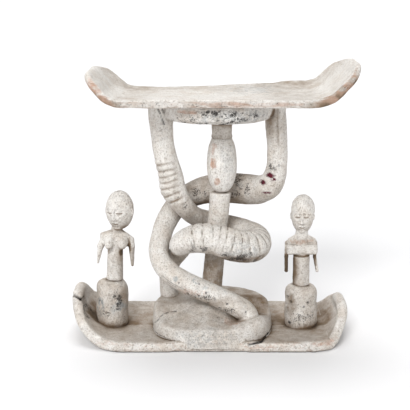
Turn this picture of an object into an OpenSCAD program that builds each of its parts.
// Carved figural stool: a dished seat board carried by a boss, a turned column
// and two coiling serpents, on a dished base board with two drum-borne figures.
// Millimetres. Z is up, X runs along the boards, the front is at -Y.
// The origin is on the ground under the middle of the object.

/* [Seat board] */
// Height of the seat board's underside above the ground
seat_under = 378; // [340:1:430]
// Thickness of the seat board at its rim
seat_t = 13; // [11:0.5:18]
// Depth of the seat board from front to back
seat_d = 208; // [180:1:250]
// How far the seat's left end reaches from the middle
seat_left = 196; // [185:1:225]
// How far the seat's right end reaches from the middle
seat_right = 227; // [210:1:250]
// How far the left end is bent up
seat_lift_left = 42; // [20:1:60]
// How far the right end is bent up
seat_lift_right = 54; // [30:1:75]
// Length of the bend at the seat's left end
seat_bend_left = 68; // [56:1:80]
// Length of the bend at the seat's right end
seat_bend_right = 86; // [70:1:100]
// Length over which a board's end is rounded in plan
end_round = 46; // [36:1:60]
// Depth of the hollow in the top of the seat
seat_dish = 4; // [1:0.5:5]
// How far the seat's back edge is warped upwards at the right
seat_warp = 6; // [0:0.5:9]

/* [Boss under the seat] */
// Radius of the boss
boss_r = 91; // [84:1:100]
// Height of the boss below the seat board
boss_h = 33; // [24:1:44]
// Distance of the egg and collar to the right of the middle
boss_x = 15; // [10:1:20]
// How far the boss's own middle is to the left of the egg's
boss_off = 8; // [4:1:12]

/* [Column] */
// Radius of the round collar under the boss
collar_r = 17; // [13:0.5:22]
// Height of the collar
collar_h = 28; // [20:1:34]
// Largest radius of the egg
egg_r = 24; // [20:0.5:26]
// Height of the egg
egg_h = 85; // [75:1:95]
// How far the head of the post is to the left of the egg's middle
post_off = 2; // [1:0.5:4]
// Radius of the leaning post
post_r = 16.5; // [13:0.5:18]
// How far the foot of the post stands to the left of its head
post_lean = 15; // [8:1:18]
// Radius of the tenon that the foot of the post stands on
tenon_r = 10; // [8:0.5:11]
// Height of that tenon
tenon_h = 10; // [8:1:14]
// Depth that the dowel enters the post
dowel_in = 22; // [16:1:26]
// Radius of the dowel through egg and collar
dowel_r = 6; // [4:0.5:8]

/* [Serpents] */
// Reach of the serpents' loops from the middle
loop_r = 90; // [88:1:96]
// Thickness of a serpent's body as a radius
body_r = 18; // [15:0.25:18.5]

/* [Coiled mound] */
// How far the mound's middle stands in front of the middle of the base
mound_y = 12; // [8:1:14]
// Outer radius of the mound
mound_r = 96; // [92:1:100]
// Height of the mound's rim at the front
mound_front = 27; // [22:1:30]
// Height of the mound's top where the left serpent lands
mound_left = 43; // [36:1:46]
// Height of the mound's crest at the back right
mound_back = 44; // [38:1:50]
// Height of the mound's top under the post
mound_top = 46; // [40:1:50]

/* [Base board] */
// How far the base's left end reaches from the middle
base_left = 227; // [212:1:250]
// How far the base's right end reaches from the middle
base_right = 216; // [200:1:240]
// Depth of the base from front to back
base_d = 208; // [202:1:250]
// Thickness of the base board at its rim
base_t = 17; // [15:0.5:22]
// Length of the bend at each end of the base
base_bend = 62; // [50:1:72]
// Depth of the hollow in the top of the base
base_dish = 6.5; // [3:0.5:7]
// How far the left end is bent up
base_lift_left = 70; // [40:1:90]
// How far the right end is bent up
base_lift_right = 51; // [30:1:80]

/* [Figures] */
// Distance of the female figure to the left of the middle
female_x = 163; // [155:1:168]
// Distance of the female figure behind the middle
female_y = 6; // [0:1:12]
// Distance of the male figure to the right of the middle
male_x = 145; // [140:1:158]
// Radius of the drums that carry the figures
drum_r = 26; // [22:0.5:28]
// Height of the female figure's drum
female_drum_h = 77; // [60:1:90]
// Height of the male figure's drum
male_drum_h = 70; // [60:1:85]
// Height of the female figure above its drum
female_h = 147; // [120:1:160]
// Height of the male figure above its drum
male_h = 148; // [120:1:160]
// Half the width across the shoulders
shoulder_w = 27; // [24:0.5:30]
// Radius of the figures' round trunks
trunk_r = 13; // [10:0.5:15]
// Radius of the figures' necks
neck_r = 9.5; // [7.5:0.5:10.5]
// Radius of the female figure's head
female_head_r = 24; // [18:0.5:26]
// Radius of the male figure's head
male_head_r = 18.5; // [15:0.5:22]

/* [Pegs and fits] */
// Radius of the wooden pegs
peg_r = 4; // [3:0.5:5]
// Length of the pegs
peg_l = 14; // [12:1:18]
// Depth that a peg enters a board
peg_in = 4.5; // [4:0.5:5]
// Clearance round a peg or dowel
fit = 0.15; // [0.1:0.05:0.3]
// Gap between carved faces that are laid against each other
joint_gap = 0.3; // [0.2:0.05:0.5]

/* [Hidden] */

base_floor = base_t - base_dish;
socket_z = base_floor - 1.5;
land_front = base_floor + mound_front;
land_left = base_floor + mound_left;
land_post = base_floor + mound_top;
rise = seat_under - base_floor;
boss_z = seat_under - boss_h;
egg_top = boss_z - collar_h;
egg_z = egg_top - egg_h;
post_foot_x = boss_x - post_off - post_lean;

ivory = [0.86, 0.83, 0.78];
chalk = [0.90, 0.88, 0.85];
taupe = [0.74, 0.69, 0.62];
tan = [0.78, 0.66, 0.56];

// Serpents: angle about the middle in degrees, reach in percent of loop_r,
// height in thousandths of the rise from base floor to seat, girth in percent of body_r.
SERPENT_RIGHT = [
  [0, 109, 1000, 100], [0, 110, 940, 96], [-1, 112, 868, 94], [-1, 114, 800, 92],
  [-1, 114, 732, 91], [1, 111, 678, 100], [6, 103, 630, 117], [18, 92, 601, 128],
  [34, 81, 592, 139], [53, 70, 590, 142], [75, 62, 588, 136], [101, 60, 582, 128],
  [122, 63, 566, 119], [137, 73, 538, 111], [152, 81, 498, 106], [167, 87, 448, 97],
  [180, 92, 400, 92], [-168, 97, 350, 90], [-155, 96, 304, 91], [-142, 87, 266, 93],
  [-126, 75, 236, 94], [-104, 68, 208, 94], [-82, 69, 180, 94], [-62, 79, 148, 93],
  [-49, 87, 112, 92], [-41, 90, 74, 89]
];
SERPENT_LEFT = [
  [-162, 93, 1000, 108], [-163, 93, 942, 102], [-164, 91, 882, 92], [-165, 89, 816, 86],
  [-165, 84, 754, 90], [-166, 76, 688, 97], [-166, 68, 626, 98], [-168, 58, 569, 91],
  [-179, 46, 528, 83], [156, 38, 492, 81], [119, 39, 462, 91], [81, 45, 435, 104],
  [53, 55, 416, 114], [31, 66, 404, 119], [11, 74, 389, 128], [-11, 76, 378, 133],
  [-31, 73, 378, 137], [-54, 61, 392, 138], [-85, 51, 413, 128], [-111, 55, 417, 119],
  [-131, 62, 405, 106], [-145, 67, 384, 95], [-160, 59, 358, 84], [-179, 61, 328, 82],
  [169, 73, 290, 85], [164, 82, 242, 86], [162, 84, 192, 83], [161, 84, 150, 82],
  [161, 83, 110, 82], [161, 83, 84, 82]
];

// Boards: distance from the bend's start to the tip in percent, share of the lift in percent.
SEAT_BEND = [[0, 0], [24, 6], [46, 22], [66, 45], [84, 70], [100, 100]];
BASE_BEND = [[0, 0], [32, 5], [58, 17], [80, 38], [93, 64], [100, 100]];

function blend(a, b, t) = a + (b - a) * t;
function spline(p0, p1, p2, p3, t) = 0.5 * (2 * p1 + (p2 - p0) * t
  + (2 * p0 - 5 * p1 + 4 * p2 - p3) * t * t + (3 * p1 - p0 - 3 * p2 + p3) * t * t * t);
function before(st, i) = i > 0 ? st[i - 1] : 2 * st[0] - st[1];
function after(st, i) = i + 2 < len(st) ? st[i + 2] : 2 * st[len(st) - 1] - st[len(st) - 2];
function curve(st, n) = concat(
  [for (i = [0:len(st) - 2]) for (k = [0:n - 1])
    spline(before(st, i), st[i], st[i + 1], after(st, i), k / n)],
  [st[len(st) - 1]]);
function unit(v) = v / norm(v);

// One serpent station as x, y, z and radius.
function place(s) = [loop_r * s[1] / 100 * cos(s[0]), loop_r * s[1] / 100 * sin(s[0]),
  base_floor + rise * s[2] / 1000, body_r * s[3] / 100];
function places(st) = [for (s = st) place(s)];
function xyz(p) = [p[0], p[1], p[2]];
function heading(c, i) = unit(xyz(c[min(i + 1, len(c) - 1)]) - xyz(c[max(i - 1, 0)]));
// The sideways direction is carried along the path so that the rings don't twist.
function carried(c, i, s) = let (t = heading(c, i), u = s - (s * t) * t) unit(u);
function sides(c, i = 0, s = [0, 1, 0]) = i >= len(c) ? []
  : let (u = carried(c, i, s)) concat([u], sides(c, i + 1, u));

module closed_tube(c, m) {
  n = len(c);
  side = sides(c);
  pts = [for (i = [0:n - 1]) let (t = heading(c, i), u = side[i], w = cross(t, u))
    for (j = [0:m - 1]) xyz(c[i]) + c[i][3] * (cos(j * 360 / m) * u + sin(j * 360 / m) * w)];
  walls = [for (i = [0:n - 2]) for (j = [0:m - 1])
    let (a = i * m + j, b = i * m + (j + 1) % m, d = a + m, e = b + m)
    each [[a, d, b], [b, d, e]]];
  caps = [[for (j = [0:m - 1]) j], [for (j = [m - 1:-1:0]) (n - 1) * m + j]];
  polyhedron(points = pts, faces = concat(walls, caps), convexity = 10);
}

// Ends of a tube run straight down onto what they meet.
module serpent(st, n, m, low) {
  difference() {
    closed_tube(curve(places(st), n), m);
    translate([-2 * loop_r, -2 * loop_r, low - 3 * body_r]) cube([4 * loop_r, 4 * loop_r, 3 * body_r]);
    translate([-2 * loop_r, -2 * loop_r, seat_under]) cube([4 * loop_r, 4 * loop_r, 2 * body_r]);
  }
}

// Closed slab between a top grid and a bottom grid of points.
module slab(top, bottom) {
  n = len(top);
  m = len(top[0]);
  pts = concat([for (r = top) each r], [for (r = bottom) each r]);
  q = n * m;
  up = [for (i = [0:n - 2]) for (j = [0:m - 2]) let (a = i * m + j, b = a + 1, c = a + m, d = c + 1)
    each [[a, b, d], [a, d, c]]];
  down = [for (i = [0:n - 2]) for (j = [0:m - 2])
    let (a = q + i * m + j, b = a + 1, c = a + m, d = c + 1) each [[a, d, b], [a, c, d]]];
  long_front = [for (i = [0:n - 2]) let (a = i * m, c = a + m)
    each [[a, c, q + c], [a, q + c, q + a]]];
  long_back = [for (i = [0:n - 2]) let (a = i * m + m - 1, c = a + m)
    each [[a, q + c, c], [a, q + a, q + c]]];
  left = [for (j = [0:m - 2]) let (a = j, b = j + 1)
    each [[a, q + b, b], [a, q + a, q + b]]];
  right = [for (j = [0:m - 2]) let (a = (n - 1) * m + j, b = a + 1)
    each [[a, b, q + b], [a, q + b, q + a]]];
  polyhedron(points = pts, faces = concat(up, down, long_front, long_back, left, right), convexity = 6);
}

// Underside of a board as x and z from left to right.
function board_line(reach_l, reach_r, lift_l, lift_r, bend_l, bend_r, bend) = let (
  l = [for (i = [len(bend) - 1:-1:0]) [-reach_l + bend_l - bend[i][0] / 100 * bend_l, lift_l * bend[i][1] / 100]],
  r = [for (b = bend) [reach_r - bend_r + b[0] / 100 * bend_r, lift_r * b[1] / 100]],
  mid = [for (k = [1:5]) [blend(-reach_l + bend_l, reach_r - bend_r, k / 6), 0]])
  concat(l, mid, r);
function flat_curve(line, n) = [for (p = curve(line, n)) [p[0], max(p[1], 0)]];
function ahead(c, i) = unit(c[min(i + 1, len(c) - 1)] - c[max(i - 1, 0)]);
function runs(c, i = 0, s = 0) = i >= len(c) ? []
  : let (d = s + (i == 0 ? 0 : norm(c[i] - c[i - 1]))) concat([d], runs(c, i + 1, d));
// Half depth of a board near its rounded end, as a share of the full half depth.
function spread(d, r, tip) = d >= r ? 1 : tip + (1 - tip) * sqrt(1 - (1 - d / r) * (1 - d / r));
// Rise of the back edge along a board: place from left to right in percent, share of the warp in percent.
SEAT_WARP = [[0, 0], [4, 60], [9, 130], [13, 110], [17, 30], [20, -20], [27, -40], [45, 0], [60, 50], [80, 100], [88, 120], [94, 120], [100, 0]];
function looked_up(table, x, i = 0) = x <= table[i + 1][0] || i + 2 >= len(table)
  ? blend(table[i][1], table[i + 1][1], (x - table[i][0]) / (table[i + 1][0] - table[i][0]))
  : looked_up(table, x, i + 1);

module board(line, depth, t, dish, corner, tip, m, warp = 0, level = 0) {
  c = flat_curve(line, 3);
  s = runs(c);
  whole = s[len(c) - 1];
  function half(i) = depth / 2 * spread(min(s[i], whole - s[i]), corner, tip);
  function across(i, j) = (2 * j / m - 1) * half(i);
  function hollow(i, j) = dish * (1 - pow(abs(2 * j / m - 1), 2)) * min(1, min(s[i], whole - s[i]) / corner);
  function warped(i, j) = warp * looked_up(SEAT_WARP, 100 * s[i] / whole) / 100 * pow(j / m, 2);
  // Where the underside rests on something it stays level.
  function freed(i) = level == 0 ? 0 : min(1, max(0, abs(c[i][0]) / level - 1) * 3);
  top = [for (i = [0:len(c) - 1]) let (a = ahead(c, i), h = [-a[1], a[0]])
    [for (j = [0:m]) let (p = c[i] + h * (t - hollow(i, j))) [p[0], across(i, j), p[1] + warped(i, j)]]];
  bottom = [for (i = [0:len(c) - 1]) [for (j = [0:m])
    [c[i][0], across(i, j), c[i][1] + warped(i, j) * freed(i)]]];
  slab(top, bottom);
}

SEAT_LINE = board_line(seat_left, seat_right, seat_lift_left, seat_lift_right, seat_bend_left, seat_bend_right, SEAT_BEND);
BASE_LINE = board_line(base_left, base_right, base_lift_left, base_lift_right, base_bend, base_bend, BASE_BEND);

// Height of the base's hollow top at a given distance from its long axis.
function base_top(y) = base_t - base_dish * (1 - pow(min(1, abs(y) / (base_d / 2)), 2));

// Where things stand.
top_right = place(SERPENT_RIGHT[0]);
top_left = place(SERPENT_LEFT[0]);
foot_left = place(SERPENT_LEFT[len(SERPENT_LEFT) - 1]);
boss_mid = boss_x - boss_off;
block_pegs = [[boss_mid - boss_r * 0.5, boss_r * 0.22], [boss_mid + boss_r * 0.5, boss_r * 0.22]];
mound_pegs = [[-mound_r * 0.47, -mound_r * 0.42], [mound_r * 0.42, mound_r * 0.42]];

module peg(x, y, z, l = peg_l) {
  color(tan) translate([x, y, z]) cylinder(h = l, r = peg_r, $fn = 32);
}
module peg_hole(x, y, z, l) {
  translate([x, y, z]) cylinder(h = l, r = peg_r + fit, $fn = 32);
}

module seat() {
  color(chalk) difference() {
    translate([0, 0, seat_under]) board(SEAT_LINE, seat_d, seat_t, seat_dish, end_round, 0.3, 10, seat_warp, boss_r + boss_mid + body_r);
    for (p = block_pegs) peg_hole(p[0], p[1], seat_under - 1, peg_in + 1);
    peg_hole(top_right[0], top_right[1], seat_under - 1, peg_in + 1);
    peg_hole(top_left[0], top_left[1], seat_under - 1, peg_in + 1);
  }
}

module seat_block() {
  color(chalk) difference() {
    translate([boss_mid, 0, boss_z]) rotate_extrude($fn = 64)
      polygon([[0, 0], [boss_r * 0.6, 0], [boss_r * 0.86, 2], [boss_r * 0.95, 5],
        [boss_r, 11], [boss_r, boss_h], [0, boss_h]]);
    translate([boss_x, 0, boss_z - 1]) cylinder(h = boss_h - 8, r = dowel_r + fit, $fn = 32);
    translate([top_right[0], top_right[1], boss_z - 1]) cylinder(h = boss_h + 2, r = top_right[3] + 1.5, $fn = 48);
    translate([top_left[0], top_left[1], boss_z - 1]) cylinder(h = boss_h + 2, r = top_left[3] + 1.5, $fn = 48);
    for (p = block_pegs) peg_hole(p[0], p[1], seat_under - peg_l + peg_in - 0.5, peg_l + 2);
  }
}
module block_peg_left() { peg(block_pegs[0][0], block_pegs[0][1], seat_under - peg_l + peg_in - 0.5); }
module block_peg_right() { peg(block_pegs[1][0], block_pegs[1][1], seat_under - peg_l + peg_in - 0.5); }

module neck_collar() {
  color(taupe) translate([boss_x, 0, egg_top]) rotate_extrude($fn = 48)
    polygon([[dowel_r + fit, 0], [collar_r - 1, 0], [collar_r - 1.5, collar_h * 0.25],
      [collar_r - 0.5, collar_h * 0.65], [collar_r, collar_h], [dowel_r + fit, collar_h]]);
}

// Radius of the egg at a share of its height, fullest at the middle and cut off where it meets
// the collar and the post.
function egg_at(u) = egg_r * sqrt(1 - pow(abs(2 * u - 1), 2.2) * (u < 0.5 ? 0.72 : 0.56));
module egg() {
  color(ivory) translate([boss_x, 0, egg_z]) rotate_extrude($fn = 48)
    polygon(concat([[dowel_r + fit, 0]], [for (k = [0:14]) [egg_at(k / 14), egg_h * k / 14]],
      [[dowel_r + fit, egg_h]]));
}
module center_dowel() {
  color(tan) translate([boss_x, 0, egg_z - dowel_in]) cylinder(h = dowel_in + egg_h + collar_h + boss_h - 10, r = dowel_r, $fn = 32);
}

post_h = egg_z - land_post;
post_tilt = atan(post_lean / post_h);
module center_post() {
  color(taupe) difference() {
    intersection() {
      translate([post_foot_x, 0, land_post]) rotate([0, post_tilt, 0]) translate([0, 0, -2 * post_r]) cylinder(h = post_h + 4 * post_r, r = post_r, $fn = 48);
      translate([post_foot_x - 3 * post_r, -2 * post_r, land_post]) cube([post_lean + 6 * post_r, 4 * post_r, post_h]);
    }
    translate([boss_x, 0, egg_z - dowel_in - 0.5]) cylinder(h = dowel_in + 2, r = dowel_r + fit, $fn = 32);
    translate([post_foot_x, 0, land_post - 1]) cylinder(h = tenon_h + 1, r = tenon_r + fit, $fn = 32);
  }
}

module serpent_right() {
  color(ivory) difference() {
    serpent(SERPENT_RIGHT, 3, 18, land_front);
    peg_hole(top_right[0], top_right[1], seat_under - peg_l + peg_in - 0.5, peg_l);
  }
}
module serpent_left() {
  color(ivory) difference() {
    serpent(SERPENT_LEFT, 4, 18, land_left);
    peg_hole(top_left[0], top_left[1], seat_under - peg_l + peg_in - 0.5, peg_l);
    peg_hole(foot_left[0], foot_left[1], land_left - 1, peg_l - peg_in + 1);
  }
}
module serpent_peg_right() { peg(top_right[0], top_right[1], seat_under - peg_l + peg_in - 0.5); }
module serpent_peg_left() { peg(top_left[0], top_left[1], seat_under - peg_l + peg_in - 0.5); }
module tail_peg() { peg(foot_left[0], foot_left[1], land_left - peg_in - 0.5); }

// Mound: rim by angle, from -1 at the front height over 0 at the left height to 1 at the back height.
MOUND_CREST = [[-180, 0], [-168, -0.1], [-150, -0.85], [-125, -1], [-5, -1], [15, 0.3], [40, 1], [80, 1], [105, 0.5], [130, 0], [180, 0]];
// Mound: by angle, how far the top is flattened to land a serpent, in percent.
MOUND_LAND = [[-180, 100], [-152, 20], [-130, 0], [-95, 0], [-74, 100], [-12, 100], [12, 0], [115, 0], [132, 100], [180, 100]];
function rim_at(k) = k < 0 ? blend(land_left, land_front, -k) : blend(land_left, base_floor + mound_back, k);
function rim(a) = rim_at(looked_up(MOUND_CREST, a));
// Radius in percent, then how far the top has come from its middle to its rim, on a slope and on a landing.
MOUND_IN = [[31, 0, 0], [44, 38, 68], [57, 66, 100], [72, 88, 100], [88, 100, 100]];
MOUND_OUT = [[94, 88], [98, 66], [100, 40], [99, 0]];
module coil_mound() {
  m = 40;
  cy = -mound_y;
  function spot(a, r, z) = [mound_r * r / 100 * cos(a), cy + mound_r * r / 100 * sin(a) * 0.95, z];
  function seat_z(p) = [p[0], p[1], base_top(p[1]) + joint_gap + 0.1];
  function sunk(g, a) = blend(g[1], g[2], looked_up(MOUND_LAND, a) / 100) / 100;
  rings = concat(
    [for (g = MOUND_IN) [for (j = [0:m - 1]) let (a = -180 + j * 360 / m)
      spot(a, g[0], blend(land_post, rim(a), sunk(g, a)))]],
    [for (g = MOUND_OUT) [for (j = [0:m - 1]) let (a = -180 + j * 360 / m, p = spot(a, g[0], 0), b = seat_z(p))
      [p[0], p[1], blend(b[2], rim(a), g[1] / 100)]]],
    [for (r = [60, 30]) [for (j = [0:m - 1]) seat_z(spot(-180 + j * 360 / m, r, 0))]]);
  n = len(rings);
  pts = concat([for (r = rings) each r], [[0, cy, land_post], seat_z([0, cy, 0])]);
  walls = [for (i = [0:n - 2]) for (j = [0:m - 1])
    let (a = i * m + j, b = i * m + (j + 1) % m, d = a + m, e = b + m)
    each [[a, b, e], [a, e, d]]];
  first = [for (j = [0:m - 1]) [n * m, (j + 1) % m, j]];
  last = [for (j = [0:m - 1]) [n * m + 1, (n - 1) * m + j, (n - 1) * m + (j + 1) % m]];
  color(ivory) union() {
    difference() {
      polyhedron(points = pts, faces = concat(walls, first, last), convexity = 6);
      for (p = mound_pegs) peg_hole(p[0], p[1], base_floor - 1, peg_l - peg_in + 1);
      peg_hole(foot_left[0], foot_left[1], land_left - peg_in - 0.5, peg_in + 2);
    }
    translate([post_foot_x, 0, land_post - 2]) cylinder(h = tenon_h + 1.5, r = tenon_r, $fn = 32);
  }
}
module mound_peg_left() { peg(mound_pegs[0][0], mound_pegs[0][1], base_floor - peg_in - 0.5, peg_l - 1); }
module mound_peg_right() { peg(mound_pegs[1][0], mound_pegs[1][1], base_floor - peg_in - 0.5, peg_l - 1); }

module base() {
  color(ivory) difference() {
    board(BASE_LINE, base_d, base_t, base_dish, end_round, 0.4, 10);
    translate([-base_left - 10, -base_d, -base_t]) cube([base_left + base_right + 20, 2 * base_d, base_t]);
    translate([-female_x, female_y, socket_z]) cylinder(h = 30, r = drum_r + joint_gap, $fn = 64);
    translate([male_x, 0, socket_z]) cylinder(h = 30, r = drum_r + joint_gap, $fn = 64);
    for (p = mound_pegs) peg_hole(p[0], p[1], base_floor - peg_in - 0.5, 30);
    peg_hole(-female_x, female_y, socket_z - peg_in - 0.5, 30);
    peg_hole(male_x, 0, socket_z - peg_in - 0.5, 30);
  }
}

// Drum with a rounded shoulder; the ledge is a small step round it.
module drum(h, ledge) {
  difference() {
    rotate_extrude($fn = 64) polygon([[0, 0], [drum_r - 1.5, 0], [drum_r, ledge * 0.5], [drum_r, ledge],
      [drum_r - 1.2, ledge + 1.5], [drum_r - 1.2, h - 9], [drum_r - 3, h - 4.5], [drum_r - 7, h - 1.5],
      [drum_r - 11, h], [0, h]]);
    peg_hole(0, 0, -1, peg_l - peg_in + 1);
    peg_hole(0, 0, h - peg_in - 0.5, peg_in + 2);
  }
}
module female_drum() { color(taupe) translate([-female_x, female_y, socket_z]) drum(female_drum_h, 30); }
module male_drum() { color(taupe) translate([male_x, 0, socket_z]) drum(male_drum_h, 36); }
module female_drum_peg() { peg(-female_x, female_y, socket_z - peg_in - 0.5, peg_l - 1); }
module male_drum_peg() { peg(male_x, 0, socket_z - peg_in - 0.5, peg_l - 1); }
female_top = socket_z + female_drum_h;
male_top = socket_z + male_drum_h;
module female_peg() { peg(-female_x, female_y, female_top - peg_in - 0.5, peg_l - 1); }
module male_peg() { peg(male_x, 0, male_top - peg_in - 0.5, peg_l - 1); }

// Tapering limb between two points, as one solid.
module limb(a, b, r0, r1) {
  hull() {
    translate(a) sphere(r = r0, $fn = 20);
    translate(b) sphere(r = r1, $fn = 20);
  }
}
// Head: a long egg, fullest above the middle and narrower at the chin.
function head_at(u) = sqrt(max(0, 1 - pow(abs(2 * pow(u, 0.88) - 1), 2.1)));
module head(r, h) {
  rotate_extrude($fn = 48) polygon(concat([[0, 0]],
    [for (k = [0:14]) let (u = 0.03 + 0.94 * k / 14) [r * head_at(u), h * u]], [[0, h]]));
}
module female_figure() {
  chest = female_h * 0.45;
  neck = female_h * 0.56;
  color(ivory) translate([-female_x, female_y, female_top]) difference() {
    union() {
      translate([0, 0, 0]) rotate([0, 4, 0]) translate([0, 0, -6]) cylinder(h = chest + 12, r1 = trunk_r + 1, r2 = trunk_r, $fn = 48);
      translate([4, 0, chest - 4]) rotate([0, 90, 0]) translate([0, 0, -shoulder_w + 6]) cylinder(h = 2 * shoulder_w - 12, r = 10, $fn = 40);
      limb([5 - shoulder_w + 5, 0, chest - 2], [5 - shoulder_w, -2, chest - 40], 6.5, 2.5);
      limb([5 + shoulder_w - 5, 0, chest - 2], [5 + shoulder_w, -2, chest - 43], 6.5, 2.5);
      limb([-3.5, -10, chest - 6], [-4, -16, chest - 12], 8, 5.5);
      limb([12.5, -10, chest - 6], [13, -16, chest - 12], 8, 5.5);
      translate([7, 0, chest + 2]) cylinder(h = neck - chest + 3, r = neck_r, $fn = 32);
      translate([11, 0, neck + 1]) head(female_head_r, female_h - neck - 1);
    }
    translate([-3 * trunk_r, -3 * trunk_r, -2 * trunk_r]) cube([6 * trunk_r, 6 * trunk_r, 2 * trunk_r]);
    peg_hole(0, 0, -1, peg_l - peg_in + 1);
  }
}
module male_figure() {
  chest = male_h * 0.4;
  neck = male_h * 0.58;
  color(ivory) translate([male_x, 0, male_top]) difference() {
    union() {
      cylinder(h = chest, r1 = trunk_r + 1, r2 = trunk_r - 1, $fn = 48);
      hull() {
        for (x = [-1, 1]) translate([x * (shoulder_w - 10), 0, chest - 8]) cylinder(h = 8, r = 8, $fn = 24);
        for (x = [-1, 1]) translate([x * (shoulder_w - 9), 0, chest + 12]) cylinder(h = 7, r = 9, $fn = 24);
      }
      limb([4 - shoulder_w - 3, 0, chest + 10], [1 - shoulder_w, -2, chest - 32], 5.5, 3);
      limb([shoulder_w - 1, 0, chest + 10], [shoulder_w - 2, -2, chest - 32], 5.5, 3);
      translate([1, 0, chest + 10]) cylinder(h = neck - chest - 6, r = neck_r, $fn = 32);
      translate([1.5, 0, neck]) head(male_head_r, male_h - neck);
    }
    peg_hole(0, 0, -1, peg_l - peg_in + 1);
  }
}

seat();
seat_block();
block_peg_left();
block_peg_right();
neck_collar();
egg();
center_dowel();
center_post();
serpent_right();
serpent_left();
serpent_peg_right();
serpent_peg_left();
coil_mound();
tail_peg();
mound_peg_left();
mound_peg_right();
base();
female_drum();
female_figure();
female_drum_peg();
female_peg();
male_drum();
male_figure();
male_drum_peg();
male_peg();
